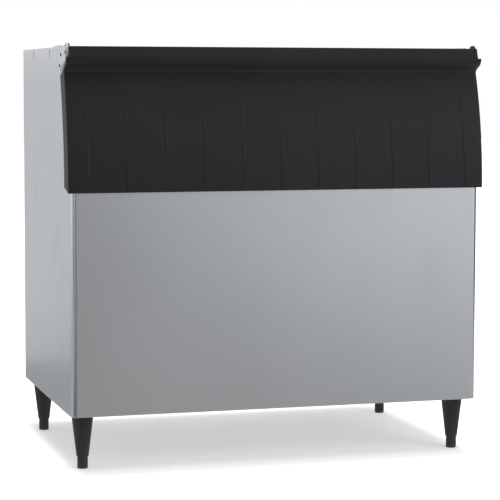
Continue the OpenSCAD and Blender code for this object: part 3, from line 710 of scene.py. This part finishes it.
def make_door_shell():
    """Moulded door skin: curved face with upright beads, skirts, groove and hooked lip."""
    pitch = 2 * DOOR_HALF / BEADS
    bead_half, bead_top = 3.6, 1164  # half a bead's width, and where the beads end
    bend = 4  # radius from the face to a skirt

    def bead(x, z):
        """Height of the beads at a place on the face; they fade upwards."""
        off = (x + DOOR_HALF) % pitch - pitch / 2
        if abs(off) > bead_half:
            return 0
        crown = 1.6 - 1.2 * share(880, 1120, z)
        across = math.cos(math.pi / 2 * off / bead_half) ** 1.3
        top = share(bead_top, bead_top - 13, z)
        foot = share(LOW_Z + 2, LOW_Z + 7, z)
        return crown * across * math.sin(math.pi / 2 * top) * math.sin(math.pi / 2 * foot)

    def flank(side, b, z):
        """One end of the door at a height, from the skirt's rear edge round to the face."""
        back = skirt_back(z)
        front = min(b + bend, back)
        points = [(side * DOOR_HALF, back + (front - back) * t, z)
                  for t in (0, 0.03, 0.3, 0.6, 1)]
        for degrees in (15, 30, 45, 60, 75, 90):
            a = math.radians(degrees)
            points.append((side * (DOOR_HALF - bend + bend * math.cos(a)),
                           front - (front - b) * math.sin(a), z))
        return points

    # Rows lie close together round the foot and the beads' ends, where the face changes
    heights = [LOW_Z, 842, 844, 847, 850, 851.9, 852.1, 856]
    heights += [866 + 12.2 * k for k in range(23)]
    heights += [1142, 1146, 1150, 1154, 1158, 1162, 1168, 1177, 1186, 1190]
    rows = [(face_b(z), z) for z in heights] + lip_under()
    rows += [(4.4, LIP_Z - 1.6), (4.6, LIP_Z - 0.4)]
    over_bead = [0.7, 1.5, 2.4, 3.1, bead_half, bead_half + 1, 30]
    columns = [-off for off in reversed(over_bead)] + [0] + over_bead
    crossings = [-DOOR_HALF + (k + 0.5) * pitch + off for k in range(BEADS) for off in columns]
    rings = [flank(-1, b, z) + [(x, b - bead(x, z), z) for x in crossings]
             + flank(1, b, z)[::-1] for b, z in rows]
    shell = Shape().loft(rings, around=False, ends=False).piece(
        "door_shell", "black_moulding", "door", "door_skin", edge=1.1, steps=3, solid=False)
    wall = shell.modifiers.new("wall", "SOLIDIFY")
    wall.thickness = 3.5 * MM
    wall.offset = -1
    shell.modifiers.move(1, 0)  # the wall first, and then its rounded edges


def make_door_walls():
    """The door skin's inner walls, along the foot and under the lip."""
    thick = 4
    low, high = DOOR_FLOOR, DOOR_FLOOR + thick
    foot = [(-9.4, LOW_Z), (-5, LOW_Z), (-3, low), (frame_b(low) - SEAT, low),
            (frame_b(high) - SEAT, high), (-9, high)]
    low, high = GROOVE_Z, GROOVE_Z + thick
    face = face_b(low) + 3
    top = [(face, low), (frame_b(low) - SEAT, low), (frame_b(high) - SEAT, high), (face, high)]
    walls = Shape()
    walls.bar(foot, -SKIRT_IN + 0.2, SKIRT_IN - 0.2)
    walls.bar(top, -SKIRT_IN + 3.6, SKIRT_IN - 3.6)
    walls.piece("door_shell_walls", "black_moulding", "door", edge=0.8)


def make_inner_panel():
    """The door's inner panel, with a raised field that stands into the opening."""
    low, high = DOOR_FLOOR + 4.05, GROOVE_Z - 0.05
    half = SKIRT_IN - 0.2
    thick = 3
    rings = [pane(half, low, high, 2, -SEAT - thick), pane(half, low, high, 2, -SEAT)]
    # The field's section: inset from the panel's edge, and depth behind the opening's face
    field = [(40, -SEAT), (43, -8.0), (45.5, -6.6), (47.5, -4.2), (49.5, -2.7), (53, -2.2),
             (75, -2.2), (78, -2.5), (81, -3.6), (84, -4.6), (88, -4.9)]
    for inset, depth in field:
        rings.append(pane(half - inset, low + inset * 0.85, high - inset * 0.85,
                          14 - inset * 0.02, depth))
    Shape().loft(rings).piece("door_inner_panel", "black_moulding", "door", "door_liner",
                              sharp=50)


def make_gasket():
    """A hollow bulb gasket on its base, mitred round the inner panel."""
    half = 630.5
    low, high = DOOR_FLOOR + 6, GROOVE_Z - 3
    # Inset from the outer edge, and depth behind the opening's face
    section = rounded([(0, -8.25), (0, -6.6), (3.4, -6), (3.4, -4.8), (0.9, -3.4), (0.9, -0.4),
                       (15.1, -0.4), (15.1, -3.4), (12.6, -4.8), (12.6, -6), (16, -6.6),
                       (16, -8.25)],
                      [0, 0.5, 0.5, 0.5, 1.2, 1.5, 1.5, 1.2, 0.5, 0.5, 0.5, 0], steps=3)
    rings = [pane(half - inset, low + inset, high - inset, 3, depth) for inset, depth in section]
    Shape().loft(rings, ends=False, joined=True).piece(
        "door_gasket", "gasket", "door", "door_gasket", sharp=50)


def make_arm_screws():
    """Cross-recessed screws that hold the arms to the door's skirts."""
    arm_face = SKIRT_IN - 3.2
    skin, panel = 4, 3  # thicknesses in front of an arm and behind it
    heights = 1174, 1129
    for side, name in ((-1, "left"), (1, "right")):
        shape = Shape()
        for k, z in enumerate(heights):
            middle = (face_b(z) + skin + frame_b(z) - SEAT - panel) / 2
            shape.screw((side * arm_face, middle, z), (-side, 0, 0), radius=4.4, height=2.4,
                        degrees=15 + 40 * k, shank=2, depth=5.5)
        shape.piece("arm_screws_" + name, "hardware", "door", "arm_screws_" + name, sharp=25)


# Stage, in metres

def make_floor():
    """A pale floor that keeps the bin's soft shadow, deepened by a painted shadow where its glow
    is held down round the bin, and runs off to white.
    """
    floor = Finish("floor", Base_Color=(0.84, 0.84, 0.84), Roughness=0.9,
                   Specular_IOR_Level=0.1, Emission_Strength=1.0)
    across, along, _ = floor.axes()
    half_wide, half_deep = 0.6, 0.42  # the dark middle of the painted shadow, where the glow stays low
    aside = (across.size() - half_wide).above(0.0)
    ahead = (along.size() - half_deep).above(0.0)
    away = (aside * aside + ahead * ahead) ** 0.5
    # The glow drops to 0.345 near the footprint: a painted shadow on the floor under and round
    # the bin
    glow_with_painted_shadow = floor.shows() * away.between(0.0, 0.11, 0.345, 1.0)
    floor.give(Emission_Color=floor.mix((0, 0, 0), (1, 1, 1), glow_with_painted_shadow))
    bpy.ops.mesh.primitive_plane_add(size=60, location=(0, 0, 0))
    plane = bpy.context.object
    plane.name = "floor"
    plane.data.materials.append(floor.material)


def make_world():
    """Even pale light from all round, and white where it shows."""
    world = bpy.data.worlds.new("studio")
    bpy.context.scene.world = world
    world.use_nodes = True
    air = Nodes(world.node_tree)
    soft = air.add("ShaderNodeBackground", None, {"Color": (0.95, 0.97, 1.0), "Strength": 0.55})
    white = air.add("ShaderNodeBackground", None, {"Color": (1, 1, 1), "Strength": 1.0})
    light = air.add("ShaderNodeMixShader", None, {0: air.shows(), 1: soft, 2: white})
    air.add("ShaderNodeOutputWorld", None, {"Surface": light})


def make_card(name, corners, colour, far_colour=None, start=0, end=1):
    """A card that shows only in reflections; its colour may change from x start to x end."""
    card = Finish(name, Base_Color=(0, 0, 0), Roughness=1.0, Specular_IOR_Level=0.0,
                  Emission_Color=colour, Emission_Strength=1.0)
    if far_colour:
        across, _, _ = card.axes()
        card.give(Emission_Color=card.mix(colour, far_colour, across.between(start, end)))
    data = bpy.data.meshes.new(name)
    data.from_pydata(corners, [], [(0, 1, 2, 3)])
    data.materials.append(card.material)
    made = bpy.data.objects.new(name, data)
    bpy.context.collection.objects.link(made)
    made.visible_camera = False
    made.visible_diffuse = False
    made.visible_shadow = False


def make_cards():
    """The studio that the steel and the door mirror: dark to the left, pale to the right."""
    ahead, behind = -4.2, 3.2  # where the front and rear cards stand
    split, top = 1.3, 3.4  # heights where upright cards end
    make_card("front card", [(-0.6, ahead, 0.04), (4.6, ahead, 0.04),
                             (4.6, ahead, split), (-0.6, ahead, split)],
              (0.375, 0.375, 0.375), (0.94, 0.98, 1.01), -0.4, 2.4)
    make_card("upper front card", [(-3.6, ahead, split), (4.6, ahead, split),
                                   (4.6, ahead, top), (-3.6, ahead, top)],
              (0.8, 0.8, 0.8), (0.6, 0.6, 0.6), -0.6, 2.4)
    make_card("low card", [(-0.6, ahead, 0.03), (2.6, ahead, 0.03),
                           (2.6, -0.42, 0.03), (-0.75, -0.42, 0.03)],
              (0.445, 0.445, 0.445), (0.61, 0.64, 0.66), 0.2, 2.2)
    make_card("dark card", [(-2.4, ahead, 0.02), (-0.6, ahead, 0.02),
                            (-0.6, ahead, split), (-2.4, ahead, split)],
              (0.05, 0.05, 0.05))
    make_card("left card", [(-3.6, ahead, 0.02), (-3.6, ahead, 0.9),
                            (-3.6, -1.2, 0.9), (-3.6, -1.2, 0.02)],
              (0.16, 0.16, 0.17))
    make_card("low dark card", [(-1.8, ahead, 0.02), (-0.6, ahead, 0.02),
                                (-0.75, -0.6, 0.02), (-1.8, -0.6, 0.02)],
              (0.1, 0.1, 0.1))
    make_card("floor card", [(-7, -7, 0.01), (7, -7, 0.01), (7, 7, 0.01), (-7, 7, 0.01)],
              (0.62, 0.63, 0.64))
    make_card("rear card", [(-6, behind, 0.02), (-6, behind, split),
                            (6, behind, split), (6, behind, 0.02)],
              (0.74, 0.76, 0.78))
    make_card("near rear low card", [(-6, 0.45, 0.02), (6, 0.45, 0.02),
                                     (6, 1.7, 0.02), (-6, 1.7, 0.02)],
              (0.42, 0.44, 0.45))
    make_card("far rear low card", [(-6, 1.7, 0.02), (6, 1.7, 0.02),
                                    (6, behind, 0.02), (-6, behind, 0.02)],
              (0.68, 0.7, 0.72))
    make_card("right card", [(3.8, -1.6, 0.03), (3.8, -1.6, top),
                             (3.8, 3.1, top), (3.8, 3.1, 0.03)],
              (0.05, 0.05, 0.05))
    make_card("ceiling card", [(-5, ahead, top), (5, ahead, top), (5, 0.2, 5), (-5, 0.2, 5)],
              (0.04, 0.04, 0.04))


def make_lamp(name, place, target, width, height, power, colour=(1, 1, 1)):
    """A soft rectangular lamp that faces a point."""
    lamp = bpy.data.objects.new(name, bpy.data.lights.new(name, "AREA"))
    lamp.data.shape = "RECTANGLE"
    lamp.data.size = width
    lamp.data.size_y = height
    lamp.data.energy = power
    lamp.data.color = colour
    lamp.location = place
    lamp.rotation_euler = (Vector(target) - Vector(place)).to_track_quat("-Z", "Y").to_euler()
    bpy.context.collection.objects.link(lamp)


make_camera()
make_world()
make_floor()
make_cards()
make_lamp("overhead", (0.3, -0.6, 4.2), (0, 0, 0.4), width=3.5, height=3.0, power=58)
make_lamp("right softbox", (3.2, -4.2, 2.8), (0.2, -0.4, 0.8), width=2.2, height=2.2,
          power=60, colour=(0.93, 0.96, 1.0))
dress_frame()
make_front_panel()
make_header()
make_legs()
make_back_screws()
make_bracket_screws()
make_pins()
make_drain_thread()
make_door_shell()
make_door_walls()
make_inner_panel()
make_gasket()
make_arm_screws()

view = bpy.context.scene.view_settings
view.view_transform = "Standard"
